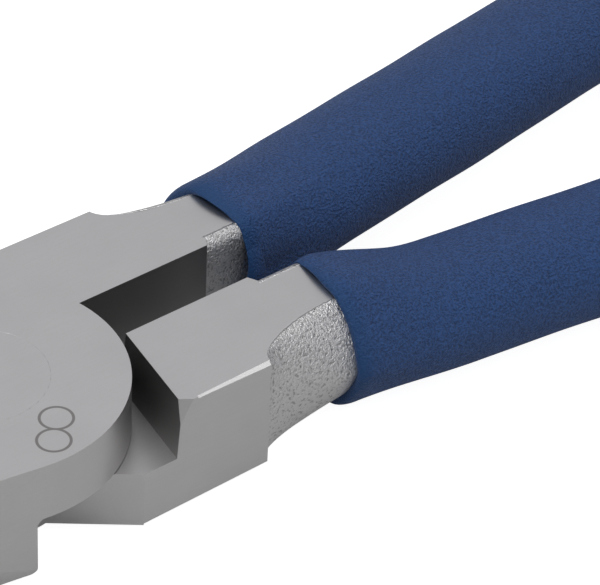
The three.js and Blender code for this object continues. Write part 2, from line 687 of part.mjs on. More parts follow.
// Split spring washer, drawn flat under the screw head.
function washerSolid(side) {
  const y = side * WHEEL_CENTRE_Y;
  const top = WASHER_BASE + WASHER_THICKNESS;
  const ring = cylinder(WASHER_RADIUS, WASHER_BASE, top, BORE_SEGMENTS, WHEEL_CENTRE_X, y);
  const bore = cylinder(WHEEL_BORE_RADIUS, WASHER_BASE - OVERCUT, top + OVERCUT, BORE_SEGMENTS,
    WHEEL_CENTRE_X, y);
  const slit = new THREE.BoxGeometry(WASHER_SPLIT, 2 * WASHER_RADIUS, 4 * WASHER_THICKNESS);
  slit.translate(0, WASHER_RADIUS, 0);
  slit.rotateZ(radians(side * WASHER_SPLIT_ANGLE));
  slit.translate(WHEEL_CENTRE_X, y, top);
  return ring.subtract(bore).subtract(toSolid(slit));
}

function gripSolid(rise) {
  return gripSkin(rise).subtract(neck(GRIP_FIT)).subtract(tang(rise, GRIP_FIT));
}

// ---------------------------------------------------------------- assembly

const FINISH = {
  groundSteel: { color: '#a9a8a8', roughness: 0.38, metalness: 1 },
  rivetSteel: { color: '#a3a2a1', roughness: 0.42, metalness: 1 },
  vinyl: { color: '#2f4a78', roughness: 0.7, metalness: 0 },
  carbide: { color: '#6f7276', roughness: 0.3, metalness: 1 },
  blackOxide: { color: '#2a2a2c', roughness: 0.45, metalness: 1 },
  springSteel: { color: '#8b8a86', roughness: 0.4, metalness: 1 },
};

function piece(name, solid, finish) {
  const mesh = new THREE.Mesh(toGeometry(solid), new THREE.MeshStandardMaterial(FINISH[finish]));
  mesh.name = name;
  return mesh;
}

const nippers = new THREE.Group();

for (const [position, side] of [['upper', -1], ['lower', 1]]) {
  const rise = HANDLE_RISE[position];
  const place = (solid) => (position === 'upper' ? solid : turnedOver(solid));
  const lever = place(leverBlank(rise)).subtract(wheelSeat(side));
  nippers.add(piece(`${position}_lever`, lever, 'groundSteel'));
  nippers.add(piece(`${position}_grip`, place(gripSolid(rise)), 'vinyl'));
  nippers.add(piece(`${position}_cutting_wheel`, wheelSolid(side), 'carbide'));
  nippers.add(piece(`${position}_wheel_washer`, washerSolid(side), 'springSteel'));
  nippers.add(piece(`${position}_wheel_screw`, screwSolid(side), 'blackOxide'));
}
nippers.add(piece('pivot_rivet', rivetSolid(0), 'rivetSteel'));

export default nippers;
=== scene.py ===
"""Wheeled mosaic glass nippers: the finished look of the lap-joint levers, dipped grips, carbide
cutting wheels and their fasteners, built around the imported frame. Metres, +Z up, in the frame's
own place: +X runs from the pivot to the handles and the wheels meet over the -X axis."""

import math

import bmesh
import bpy
import numpy as np
from mathutils import Matrix, Vector


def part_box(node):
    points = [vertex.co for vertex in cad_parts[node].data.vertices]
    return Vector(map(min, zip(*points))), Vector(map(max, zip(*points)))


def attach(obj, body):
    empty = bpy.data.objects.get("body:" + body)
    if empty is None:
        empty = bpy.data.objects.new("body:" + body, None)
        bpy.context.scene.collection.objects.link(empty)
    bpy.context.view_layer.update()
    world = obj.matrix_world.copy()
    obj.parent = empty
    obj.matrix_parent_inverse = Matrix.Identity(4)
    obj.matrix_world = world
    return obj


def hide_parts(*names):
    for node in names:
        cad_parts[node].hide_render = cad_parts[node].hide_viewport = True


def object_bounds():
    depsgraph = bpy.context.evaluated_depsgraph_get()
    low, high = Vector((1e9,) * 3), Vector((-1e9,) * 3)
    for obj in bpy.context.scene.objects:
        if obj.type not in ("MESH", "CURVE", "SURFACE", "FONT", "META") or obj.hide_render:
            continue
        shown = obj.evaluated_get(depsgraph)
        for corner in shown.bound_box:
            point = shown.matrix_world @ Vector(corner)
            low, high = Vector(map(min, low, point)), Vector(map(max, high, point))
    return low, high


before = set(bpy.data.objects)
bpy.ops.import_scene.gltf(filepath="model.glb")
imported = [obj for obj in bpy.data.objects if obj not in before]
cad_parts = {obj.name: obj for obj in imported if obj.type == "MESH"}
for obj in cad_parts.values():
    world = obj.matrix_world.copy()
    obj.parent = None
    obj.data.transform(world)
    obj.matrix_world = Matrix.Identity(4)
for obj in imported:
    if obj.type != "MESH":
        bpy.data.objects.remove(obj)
CAD_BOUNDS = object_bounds()
MM = 0.001

bl_info = {
    "name": "Mosaic Glass Nippers",
    "version": (1, 0, 0),
    "blender": (4, 5, 0),
    "location": "3D View > Sidebar > Nippers",
    "description": "Builds the visible pieces of wheeled mosaic glass nippers around their frame",
    "category": "Add Mesh",
}

SIDES = ("upper", "lower")

# Middle of the head, from the flush rivet, and its upper flat.
HEAD_MIDDLE = sum(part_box("pivot_rivet")[i].z for i in (0, 1)) / 2
HEAD_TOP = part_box("pivot_rivet")[1].z

# Lever: merging distance and flatness of its faces, then the bend past which an edge is broken
# and the one past which it stays sharp. The jaws' slanting facets lie between two X.
MERGE_DISTANCE = 0.002 * MM
FLATNESS = math.radians(1.0)
BREAK_ANGLE = math.radians(25.0)
CREASE = math.radians(40.0)
JAW_CREASE = math.radians(9.0)
JAW_FACETS = (-13.5 * MM, -1.5 * MM)

# Where a lever is as forged: behind the shank, further back on its inner side, and below the
# flats, with a ragged line. Each pair is where a soft-edged mask begins and where it ends.
FORGED_BACK = (22.2 * MM, 22.35 * MM)
FORGED_INNER_BACK = (27.9 * MM, 28.2 * MM)
OUTER_SIDE = (5.0 * MM, 5.3 * MM)
FLAT_LINE = (5.96 * MM, 5.99 * MM)
RAGGED_GRAIN = 0.5 * MM
RAGGED_HEIGHT = 0.05 * MM

# Where a lever's colour is darkened as painted shade, behind its hub: on the faces that look
# forward, and on the upright ones this close to the middle plane.
FACING_FORWARD = (-0.95, -0.85)
HUB_BACK = 5.0 * MM
INNER_FACE = 3.15 * MM
UPRIGHT = 0.5

# Mouth of the grip: the length over which its section turns into the plain oval, its wall and how
# much thicker that is on the outer side, its slant, and how far each one lies from the frame's.
# Its section is the steel's a little way in, eased by keeping about MOUTH_HARMONICS harmonics,
# and at the steel's corners the wall thins by at most THINNING of itself.
MOUTH_LENGTH = 14.0 * MM
MOUTH_WALL = 0.85 * MM
MOUTH_LEAN = 0.4 * MM
MOUTH_SLANT = math.radians(2.0)
MOUTH_SHIFT = {"upper": -0.35 * MM, "lower": 0.6 * MM}
MOUTH_HARMONICS = 14.0
THINNING = 0.2
MOUTH_INSET = 1.0 * MM

# Body of the grip: the exponent of its oval, how far it bites into the steel, the wall at its
# closed end, the share of the end's tilt that shortens it, and the power that shapes its dome.
GRIP_EXPONENT = 2.1
SKIN_BITE = 0.04 * MM
END_WALL = 5.3 * MM
END_TILT_SHARE = 0.3
DOME_POWER = 0.9

# Slices of the frame's grip that give its line and section, and what is left out at each end.
SLICES = 30
MOUTH_MARGIN = 2.0 * MM
END_MARGIN = 12.0 * MM

# The lip's depth outside and inside, and its waviness.
LIP_DEPTH = 1.6 * MM
LIP_INNER_DEPTH = 0.25 * MM
LIP_WAVE = 0.1 * MM

# Unevenness of the skin, and its waves: length along the grip, waves round it, phase, weight.
UNEVENNESS = 0.03 * MM
UNEVEN_WAVES = ((5.1 * MM, 2, 0.0, 1.0), (3.7 * MM, -3, 1.3, 1.0), (1.9 * MM, 5, 0.4, 0.7))

GRIP_SEGMENTS = 192
INNER_STEPS = 60
LIP_STEPS = 15
OUTER_STEPS = 210
OUTER_CROWDING = 0.35
DOME_STEPS = 26

# A turned solid's profile starts this far from its axis, where a pole closes it.
AXIS_GAP = 0.05 * MM

# Rivet: its fit in the levers, and the taper of its two countersunk heads.
RIVET_FIT = 0.04 * MM
RIVET_TAPER = 2.34 * MM
RIVET_TAPER_DEPTH = 2.2 * MM
RIVET_ROUND = 0.04 * MM
RIVET_SEGMENTS = 192

# Wheel: its bore and the bore's chamfer, the bevel of its rim, and half the land at its edge.
WHEEL_BORE = 3.06 * MM
BORE_CHAMFER = 0.25 * MM
WHEEL_BEVEL = 2.6 * MM
WHEEL_LAND = 0.15 * MM
WHEEL_SEGMENTS = 288

# Screw: an M5 thread, a 6 mm shoulder, a rounded head and a 4 mm hexagon socket with the cone
# that its drill leaves. HEAD_EASE is how far in and down the middle of the head's round lies.
THREAD_RADIUS = 2.45 * MM
THREAD_CHAMFER = 0.4 * MM
SHOULDER_RADIUS = 3.0 * MM
HEAD_CHAMFER = 0.15 * MM
HEAD_ROUND = 0.4 * MM
HEAD_EASE = (0.12 * MM, 0.15 * MM)
SOCKET_FLAT = 2.0 * MM
SOCKET_DEPTH = 1.7 * MM
SOCKET_CHAMFER = 0.2 * MM
CONE_RADIUS = 0.6 * MM
CONE_DEPTHS = (0.3 * MM, 0.35 * MM)
SCREW_SEGMENTS = 144

# Split washer: the round of its section, half its split, and where the split lies.
WASHER_ROUND = 0.12 * MM
HALF_SPLIT = 0.42 * MM
SPLIT_TURN = math.radians(35.0)
WASHER_STEPS = 128

# Patterns: grinding scratches, shading of the flats, forged pebbles and pits, and shading of the
# grips. Grinding grit leaves scratches of about 0.03 mm, drawn at 0.12 mm, the finest that shows.
# Blasting grit and forging scale leave pits of 0.2 to 0.4 mm. By the mouth, up to between the two
# distances given, the grips' skin is smoother where the bath drained, and painted deeper as lip shade.
SCRATCH = (4.0 * MM, 0.12 * MM, 0.12 * MM)
STEEL_CLOUD = 7.0 * MM
FORGED_PEBBLE = 0.2 * MM
FORGED_PIT = 0.3 * MM
SCRATCH_DEPTH = 0.003 * MM
FORGED_DEPTH = 0.16 * MM
VINYL_CLOUD = 9.0 * MM
VINYL_DEPTH = 0.6 * MM
# Painted shade: the deeper blue of the grips' skin by the lip.
VINYL_LIP_SHADE = "#143e6c"
LIP_SHADE_AND_DRAIN = (0.5 * MM, 3.5 * MM)

# Turned metals: the depth of their rings, then each one's roughness and the pitch of its rings.
# Sintered tungsten carbide, diamond ground, is a dark cool grey with a fine sheen. Black oxide on
# alloy steel is a thin dull skin, so it is only partly metallic. Zinc plate is pale and soft.
# A turned or ground ring is about 0.05 mm wide, drawn at 0.25 to 0.4 mm so that it shows.
TURNED_DEPTH = 0.008 * MM
ROUGHNESS_SPREAD = 0.06
CARBIDE_ROUGHNESS = 0.26
CARBIDE_PITCH = 0.3 * MM
OXIDE_ROUGHNESS = 0.42
OXIDE_PITCH = 0.4 * MM
OXIDE_METALLIC = 0.6
ZINC_ROUGHNESS = 0.34
ZINC_PITCH = 0.25 * MM

# Etched pictogram on the joint disc.
MARK_CENTRE = (1.3 * MM, -10.0 * MM)
MARK_RADIUS = 1.5 * MM
MARK_LINE = 0.22 * MM
MARK_TURN = math.radians(50.0)
MARK_DARKNESS = 0.6

# Camera.
CAMERA_AZIMUTH = math.radians(-40.32)
CAMERA_ELEVATION = math.radians(38.22)
CAMERA_ROLL = math.radians(2.61)
CAMERA_DISTANCE = 0.350
CAMERA_TARGET = Vector((0.03051, -0.00760, 0.012))
CAMERA_LENS = 230.37

# Floor and light. Each light has its place, its size in metres and its power in watts.
FLOOR_HALF = 6.0
FLOOR_GAP = 0.05 * MM
FLOOR_GREY = 0.47
FLOOR_GLOW = 0.92
FLOOR_DIM = 0.07
SKY_HEIGHTS = (-0.1, 0.75)
SKY_STRENGTHS = (0.2, 0.68)
LIGHT_TARGET = (0.03, 0, 0)
LIGHTS = {
    "overhead softbox": ((-0.35, -0.1, 0.9), 0.5, 3.0),
    "edge softbox": ((0.45, -0.52, 0.5), 0.25, 0.3),
}


# ---------------------------------------------------------------- colours and shader nodes


def linear(code):
    """An sRGB hex colour as linear RGB: the sRGB transfer curve undone on each channel."""
    channels = np.array([int(code[i:i + 2], 16) for i in (1, 3, 5)]) / 255.0
    low = channels / 12.92
    high = ((channels + 0.055) / 1.055) ** 2.4
    return tuple(float(c) for c in np.where(channels <= 0.04045, low, high))


def add(tree, kind, inputs=None, **settings):
    """Adds one shader node: settings are its properties, inputs its values or incoming links."""
    made = tree.nodes.new("ShaderNode" + kind)
    for name, value in settings.items():
        setattr(made, name, value)
    for key, value in (inputs or {}).items():
        if isinstance(value, bpy.types.NodeSocket):
            tree.links.new(value, made.inputs[key])
        else:
            made.inputs[key].default_value = value
    return made.outputs


def tint(colour, factor):
    """A linear RGBA colour made lighter or darker."""
    return (*(min(1.0, c * factor) for c in colour[:3]), 1.0)


def new_material(name):
    """An empty node material: its tree, its Principled shader and its Object coordinates."""
    material = bpy.data.materials.new(name)
    material.use_nodes = True
    tree = material.node_tree
    shader = tree.nodes["Principled BSDF"]
    place = add(tree, "TexCoord")["Object"]
    return material, tree, shader, place


def grains(tree, place, sizes, detail=2.0, roughness=0.5):
    """A pattern of soft grains that measure sizes, in metres along X, Y and Z, from 0 to 1."""
    scale = tuple(1.0 / size for size in sizes)
    mapped = add(tree, "Mapping", {"Vector": place, "Scale": scale})[0]
    inputs = {"Vector": mapped, "Scale": 1.0, "Detail": detail, "Roughness": roughness}
    return add(tree, "TexNoise", inputs)["Fac"]


# ---------------------------------------------------------------- materials


def etched_rings(tree, place):
    """Mask of a plain etched pictogram on the joint disc: two thin rings that touch, for the
    two wheels that meet edge to edge. A ring lies where the distance from its middle is within
    half a line of its radius."""
    rings = []
    for along in (-MARK_RADIUS, MARK_RADIUS):
        middle = (MARK_CENTRE[0] + along * math.cos(MARK_TURN),
                  MARK_CENTRE[1] + along * math.sin(MARK_TURN), HEAD_TOP)
        away = add(tree, "VectorMath", {0: place, 1: middle}, operation="DISTANCE")["Value"]
        beside = add(tree, "Math", {0: away, 1: MARK_RADIUS}, operation="SUBTRACT")[0]
        beside = add(tree, "Math", {0: beside}, operation="ABSOLUTE")[0]
        rings.append(add(tree, "MapRange", {
            "Value": beside, "From Min": 0.5 * MARK_LINE, "From Max": 0.7 * MARK_LINE,
            "To Min": 1.0, "To Max": 0.0}, interpolation_type="SMOOTHSTEP")[0])
    return add(tree, "Math", {0: rings[0], 1: rings[1]}, operation="MAXIMUM")[0]


def blasted_zone(tree, place):
    """Mask of the necks, which are left as forged: behind the shank, below the ground flats, and
    on the inner side only where the ground inner face has ended. Its upper line is ragged."""
    part = add(tree, "SeparateXYZ", {0: place})
    ragged = grains(tree, place, (RAGGED_GRAIN,) * 3)
    off_middle = add(tree, "Math", {0: part["Z"], 1: HEAD_MIDDLE}, operation="SUBTRACT")[0]
    off_middle = add(tree, "Math", {0: off_middle}, operation="ABSOLUTE")[0]
    height = add(tree, "Math", {0: ragged, 1: RAGGED_HEIGHT, 2: off_middle},
                 operation="MULTIPLY_ADD")[0]
    below_flat = add(tree, "MapRange", {
        "Value": height, "From Min": FLAT_LINE[0], "From Max": FLAT_LINE[1],
        "To Min": 1.0, "To Max": 0.0})[0]
    behind_shank = add(tree, "MapRange", {
        "Value": part["X"], "From Min": FORGED_BACK[0], "From Max": FORGED_BACK[1]})[0]
    behind_inner = add(tree, "MapRange", {
        "Value": part["X"], "From Min": FORGED_INNER_BACK[0], "From Max": FORGED_INNER_BACK[1]})[0]
    from_middle = add(tree, "Math", {0: part["Y"]}, operation="ABSOLUTE")[0]
    outer_side = add(tree, "MapRange", {
        "Value": from_middle, "From Min": OUTER_SIDE[0], "From Max": OUTER_SIDE[1]})[0]
    side = add(tree, "Math", {0: outer_side, 1: behind_inner}, operation="MAXIMUM")[0]
    zone = add(tree, "Math", {0: side, 1: behind_shank}, operation="MULTIPLY")[0]
    return add(tree, "Math", {0: zone, 1: below_flat}, operation="MULTIPLY")[0]


def painted_shade_zone(tree, place):
    """Mask of the machined faces darkened with painted shade: the stop faces, which look forward,
    and the shanks' inner faces, which lie close to the middle plane."""
    facing = add(tree, "SeparateXYZ", {0: add(tree, "TexCoord")["Normal"]})
    part = add(tree, "SeparateXYZ", {0: place})
    forward = add(tree, "MapRange", {
        "Value": facing["X"], "From Min": FACING_FORWARD[0], "From Max": FACING_FORWARD[1],
        "To Min": 1.0, "To Max": 0.0})[0]
    behind_hub = add(tree, "Math", {0: part["X"], 1: HUB_BACK}, operation="GREATER_THAN")[0]
    from_middle = add(tree, "Math", {0: part["Y"]}, operation="ABSOLUTE")[0]
    inner = add(tree, "Math", {0: from_middle, 1: INNER_FACE}, operation="LESS_THAN")[0]
    upright = add(tree, "Math", {0: facing["Z"]}, operation="ABSOLUTE")[0]
    upright = add(tree, "Math", {0: upright, 1: UPRIGHT}, operation="LESS_THAN")[0]
    inner = add(tree, "Math", {0: inner, 1: upright}, operation="MULTIPLY")[0]
    either = add(tree, "Math", {0: forward, 1: inner}, operation="MAXIMUM")[0]
    return add(tree, "Math", {0: either, 1: behind_hub}, operation="MULTIPLY")[0]


def lever_steel(colour, mark):
    """Drop-forged chrome-vanadium steel. The flats are surface ground: an even satin grey with a
    fine grain along the tool. The necks are left as forged and blasted: brighter on their
    shoulders, with a pebbled surface of small pits."""
    material, tree, shader, place = new_material("ground and blasted chrome-vanadium steel")
    forged = blasted_zone(tree, place)
    grain = grains(tree, place, SCRATCH, 3.0)
    cloud = grains(tree, place, (STEEL_CLOUD,) * 3)
    pebble = grains(tree, place, (FORGED_PEBBLE,) * 3, 3.0, 0.6)
    pit = grains(tree, place, (FORGED_PIT,) * 3, 1.0)
    ground = add(tree, "Mix", {0: grain, 6: tint(colour, 0.94), 7: tint(colour, 1.055)},
                 data_type="RGBA")[2]
    clouded = add(tree, "MapRange", {"Value": cloud, "From Min": 0.35, "From Max": 0.65,
                                     "To Min": 0.0, "To Max": 0.35})[0]
    ground = add(tree, "Mix", {0: clouded, 6: ground, 7: tint(colour, 0.9)}, data_type="RGBA")[2]
    spots = add(tree, "MapRange", {"Value": pit, "From Min": 0.3, "From Max": 0.46})[0]
    blasted = add(tree, "Mix", {0: spots, 6: tint(colour, 0.66), 7: tint(colour, 1.16)},
                  data_type="RGBA")[2]
    # Painted shade: the stop faces and the shanks' inner faces are darkened to half the steel's
    # colour.
    shaded_ground = add(tree, "Mix", {0: painted_shade_zone(tree, place), 6: ground, 7: tint(colour, 0.5)},
                   data_type="RGBA")[2]
    base = add(tree, "Mix", {0: forged, 6: shaded_ground, 7: blasted}, data_type="RGBA")[2]
    if mark:
        ink = add(tree, "Math", {0: etched_rings(tree, place), 1: MARK_DARKNESS},
                  operation="MULTIPLY")[0]
        base = add(tree, "Mix", {0: ink, 6: base, 7: (*linear("#4b453b"), 1.0)}, data_type="RGBA")[2]
    tree.links.new(base, shader.inputs["Base Color"])
    satin = add(tree, "MapRange", {"Value": grain, "From Min": 0.3, "From Max": 0.7,
                                   "To Min": 0.34, "To Max": 0.39})[0]
    rough = add(tree, "Mix", {0: forged, 2: satin, 3: 0.4})[0]
    tree.links.new(rough, shader.inputs["Roughness"])
    shader.inputs["Metallic"].default_value = 1.0
    fine = add(tree, "Bump", {"Height": grain, "Strength": 0.15, "Distance": SCRATCH_DEPTH})[0]
    lumps = add(tree, "Math", {0: pit, 1: 0.8, 2: pebble}, operation="MULTIPLY_ADD")[0]
    lumps = add(tree, "Math", {0: lumps, 1: forged}, operation="MULTIPLY")[0]
    bumped = add(tree, "Bump", {"Height": lumps, "Strength": 1.0, "Distance": FORGED_DEPTH,
                                "Normal": fine})[0]
    tree.links.new(bumped, shader.inputs["Normal"])
    return material


def turned_metal(name, colour, roughness, centre, pitch, metallic=1.0, contrast=0.1):
    """A metal finished on a lathe or a rotary grinder: fine rings about its own upright axis,
    one every pitch, that catch the light as a faint spun sheen."""
    material, tree, shader, place = new_material(name)
    centred = add(tree, "Mapping", {"Vector": place, "Location": (-centre[0], -centre[1], 0.0)})[0]
    part = add(tree, "SeparateXYZ", {0: centred})
    flat = add(tree, "CombineXYZ", {0: part["X"], 1: part["Y"]})[0]
    away = add(tree, "VectorMath", {0: flat}, operation="LENGTH")["Value"]
    rings = add(tree, "CombineXYZ", {0: away, 1: part["Z"]})[0]
    marks = grains(tree, rings, (pitch, pitch, 1.0))
    base = add(tree, "Mix", {0: marks, 6: tint(colour, 1 - contrast), 7: tint(colour, 1 + contrast)},
               data_type="RGBA")[2]
    tree.links.new(base, shader.inputs["Base Color"])
    rough = add(tree, "MapRange", {"Value": marks, "From Min": 0.3, "From Max": 0.7,
                                   "To Min": roughness - ROUGHNESS_SPREAD,
                                   "To Max": roughness + ROUGHNESS_SPREAD})[0]
    tree.links.new(rough, shader.inputs["Roughness"])
    shader.inputs["Metallic"].default_value = metallic
    bump = add(tree, "Bump", {"Height": marks, "Strength": 0.3, "Distance": TURNED_DEPTH})[0]
    tree.links.new(bump, shader.inputs["Normal"])
    return material


def dipped_vinyl(colour, pebble_size, mouth):
    """Soft PVC plastisol, dipped and cured: a matt, deep blue skin. Its pebbled surface scatters
    light, so it looks paler where the light grazes it. The last of the bath to drain leaves the
    skin by the mouth smoother, and the skin there is painted a deeper blue as shade by the lip."""
    material, tree, shader, place = new_material("dipped PVC")
    pebble = grains(tree, place, (pebble_size,) * 3, 2.0, 0.6)
    cloud = grains(tree, place, (VINYL_CLOUD,) * 3)
    along = add(tree, "SeparateXYZ", {0: place})["X"]
    lip_shade_and_drain = add(tree, "MapRange", {
        "Value": along, "From Min": mouth + LIP_SHADE_AND_DRAIN[0], "From Max": mouth + LIP_SHADE_AND_DRAIN[1]},
        interpolation_type="SMOOTHSTEP")[0]
    specks = add(tree, "MapRange", {"Value": pebble, "From Min": 0.36, "From Max": 0.6})[0]
    base = add(tree, "Mix", {0: specks, 6: tint(colour, 0.6), 7: tint(colour, 1.14)},
               data_type="RGBA")[2]
    clouded = add(tree, "MapRange", {"Value": cloud, "From Min": 0.3, "From Max": 0.7,
                                     "To Min": 0.0, "To Max": 0.12})[0]
    base = add(tree, "Mix", {0: clouded, 6: base, 7: tint(colour, 1.25)}, data_type="RGBA")[2]
    # Painted shade by the lip: the skin near the mouth is given the deeper blue.
    base = add(tree, "Mix", {0: lip_shade_and_drain, 6: (*linear(VINYL_LIP_SHADE), 1.0), 7: base},
               data_type="RGBA")[2]
    tree.links.new(base, shader.inputs["Base Color"])
    rough = add(tree, "MapRange", {"Value": pebble, "From Min": 0.35, "From Max": 0.65,
                                   "To Min": 0.62, "To Max": 0.48})[0]
    tree.links.new(rough, shader.inputs["Roughness"])
    shader.inputs["Specular IOR Level"].default_value = 0.34
    shader.inputs["Sheen Weight"].default_value = 0.1
    shader.inputs["Sheen Roughness"].default_value = 0.4
    shader.inputs["Sheen Tint"].default_value = (*linear("#c8c8e6"), 1.0)
    lumps = add(tree, "Math", {0: lip_shade_and_drain, 1: 0.75, 2: 0.25}, operation="MULTIPLY_ADD")[0]
    lumps = add(tree, "Math", {0: lumps, 1: pebble}, operation="MULTIPLY")[0]
    bump = add(tree, "Bump", {"Height": lumps, "Strength": 1.0, "Distance": VINYL_DEPTH})[0]
    tree.links.new(bump, shader.inputs["Normal"])
    return material


# ---------------------------------------------------------------- surfaces from arrays


def grid_faces(rows, columns, wrap_rows=False):
    """Quads of a grid of rows rings with columns points, each ring closed on itself."""
    row = np.arange(rows if wrap_rows else rows - 1)[:, None] * columns
    next_row = (row + columns) % (rows * columns)
    here = np.arange(columns)[None, :]
    after = (here + 1) % columns
    return np.stack([row + here, row + after, next_row + after, next_row + here], -1).reshape(-1, 4)


def signed_volume(points, triangles):
    """Volume inside a closed skin: a sixth of the sum of each triangle's triple product."""
    a, b, c = (points[triangles[:, i]] for i in range(3))
    return float(np.einsum("ij,ij->i", a, np.cross(b, c)).sum() / 6.0)


def skin(name, rings, capped=True, sharp_angle=32.0):
    """A closed mesh through an array of rings. With capped the first and last ring are closed to
    a pole at their middle, and otherwise the last ring joins the first."""
    rows, columns = rings.shape[:2]
    points = rings.reshape(-1, 3)
    quads = grid_faces(rows, columns, not capped)
    triangles = np.concatenate([quads[:, [0, 1, 2]], quads[:, [0, 2, 3]]])
    caps = np.zeros((0, 3), int)
    if capped:
        poles = np.stack([rings[0].mean(0), rings[-1].mean(0)])
        here = np.arange(columns)
        after = (here + 1) % columns
        last = (rows - 1) * columns
        first_cap = np.stack([np.full(columns, len(points)), after, here], -1)
        last_cap = np.stack([np.full(columns, len(points) + 1), last + here, last + after], -1)
        points = np.concatenate([points, poles])
        caps = np.concatenate([first_cap, last_cap])
    if signed_volume(points, np.concatenate([triangles, caps])) < 0:
        quads = quads[:, ::-1]
        caps = caps[:, ::-1]
    mesh = bpy.data.meshes.new(name)
    mesh.from_pydata(points.tolist(), [], quads.tolist() + caps.tolist())
    mesh.polygons.foreach_set("use_smooth", np.ones(len(mesh.polygons), bool))
    mesh.set_sharp_from_angle(angle=math.radians(sharp_angle))
    mesh.update()
    piece = bpy.data.objects.new(name, mesh)
    bpy.context.scene.collection.objects.link(piece)
    return piece


def turn_profile(profile, centre, segments, shape=None):
    """Rings of a profile of (radius, height) rows turned about a vertical axis through centre.
    shape gives for each row how far its ring is a hexagon instead of a circle."""
    radius, height = np.array(profile, float).T
    angle = np.linspace(0.0, 2.0 * math.pi, segments, endpoint=False)[None, :]
    hexagon = math.cos(math.pi / 6) / np.cos((angle % (math.pi / 3)) - math.pi / 6)
    share = np.zeros(len(radius)) if shape is None else np.array(shape, float)
    reach = radius[:, None] * (1 + share[:, None] * (hexagon / math.cos(math.pi / 6) - 1))
    x = centre[0] + reach * np.cos(angle)
    y = centre[1] + reach * np.sin(angle)
    return np.stack([x, y, np.broadcast_to(height[:, None], x.shape)], -1)


def rounded(profile, closed, size, steps=3):
    """A profile with every corner replaced by a small arc: points on the quadratic curve whose
    ends lie size from the corner along its two sides, or just under halfway on a short side."""
    points = np.array(profile, float)
    count = len(points)
    result = []
    for i in range(count):
        if not closed and i in (0, count - 1):
            result.append(points[i])
            continue
        corner, before, after = points[i], points[i - 1], points[(i + 1) % count]
        back = min(size, 0.45 * np.linalg.norm(before - corner))
        on = min(size, 0.45 * np.linalg.norm(after - corner))
        start = corner + (before - corner) / np.linalg.norm(before - corner) * back
        end = corner + (after - corner) / np.linalg.norm(after - corner) * on
        for t in np.linspace(0.0, 1.0, steps + 1):
            result.append((1 - t) ** 2 * start + 2 * t * (1 - t) * corner + t * t * end)
    return np.array(result)


def middle_of(node):
    """The middle of a node's box, and its half size."""
    low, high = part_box(node)
    return (low + high) / 2, (high - low) / 2


def keep_flat(piece):
    """Shades large faces flat up to their rounded edges: each normal follows the largest face."""
    flats = piece.modifiers.new("flat faces", "WEIGHTED_NORMAL")
    flats.mode = "FACE_AREA"
    flats.weight = 50
    flats.keep_sharp = True


def finish_piece(piece, body, slot, material, *nodes):
    """Gives a new piece its material, its body and the CAD nodes it stands for, which it hides. The
    slot is not used.
    """
    piece.data.materials.clear()
    piece.data.materials.append(material)
    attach(piece, body)
    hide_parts(*nodes)


# ---------------------------------------------------------------- slices of the frame


def triangles_of(node):
    """A CAD node's triangles as an array of corner points."""
    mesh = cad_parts[node].data
    points = np.empty(len(mesh.vertices) * 3)
    mesh.vertices.foreach_get("co", points)
    mesh.calc_loop_triangles()
    index = np.empty(len(mesh.loop_triangles) * 3, int)
    mesh.loop_triangles.foreach_get("vertices", index)
    return points.reshape(-1, 3)[index].reshape(-1, 3, 3)


def slice_at(triangles, x):
    """(y, z) points where the triangles' edges cross the plane at x, by linear interpolation."""
    start = triangles
    end = np.roll(triangles, -1, axis=1)
    crossing = (start[..., 0] - x) * (end[..., 0] - x) < 0
    a, b = start[crossing], end[crossing]
    share = ((x - a[:, 0]) / (b[:, 0] - a[:, 0]))[:, None]
    return (a + share * (b - a))[:, 1:]


def polar_outline(points, centre, angles):
    """Radius of a star-shaped outline about centre at each angle, interpolated round the turn."""
    offset = points - np.array(centre)
    turn = np.arctan2(offset[:, 1], offset[:, 0])
    reach = np.hypot(offset[:, 0], offset[:, 1])
    order = np.argsort(turn)
    return np.interp(angles, turn[order], reach[order], period=2.0 * math.pi)


# ---------------------------------------------------------------- grips


def superellipse(angles, half_width, half_height, exponent):
    """Polar radius of a superellipse: the power mean of the two directions' shares."""
    across = np.abs(np.cos(angles) / half_width) ** exponent
    up = np.abs(np.sin(angles) / half_height) ** exponent
    return (across + up) ** (-1.0 / exponent)


def smooth(t):
    """The cubic smooth step of t, held at 0 and 1 outside."""
    t = np.clip(t, 0.0, 1.0)
    return t * t * (3 - 2 * t)


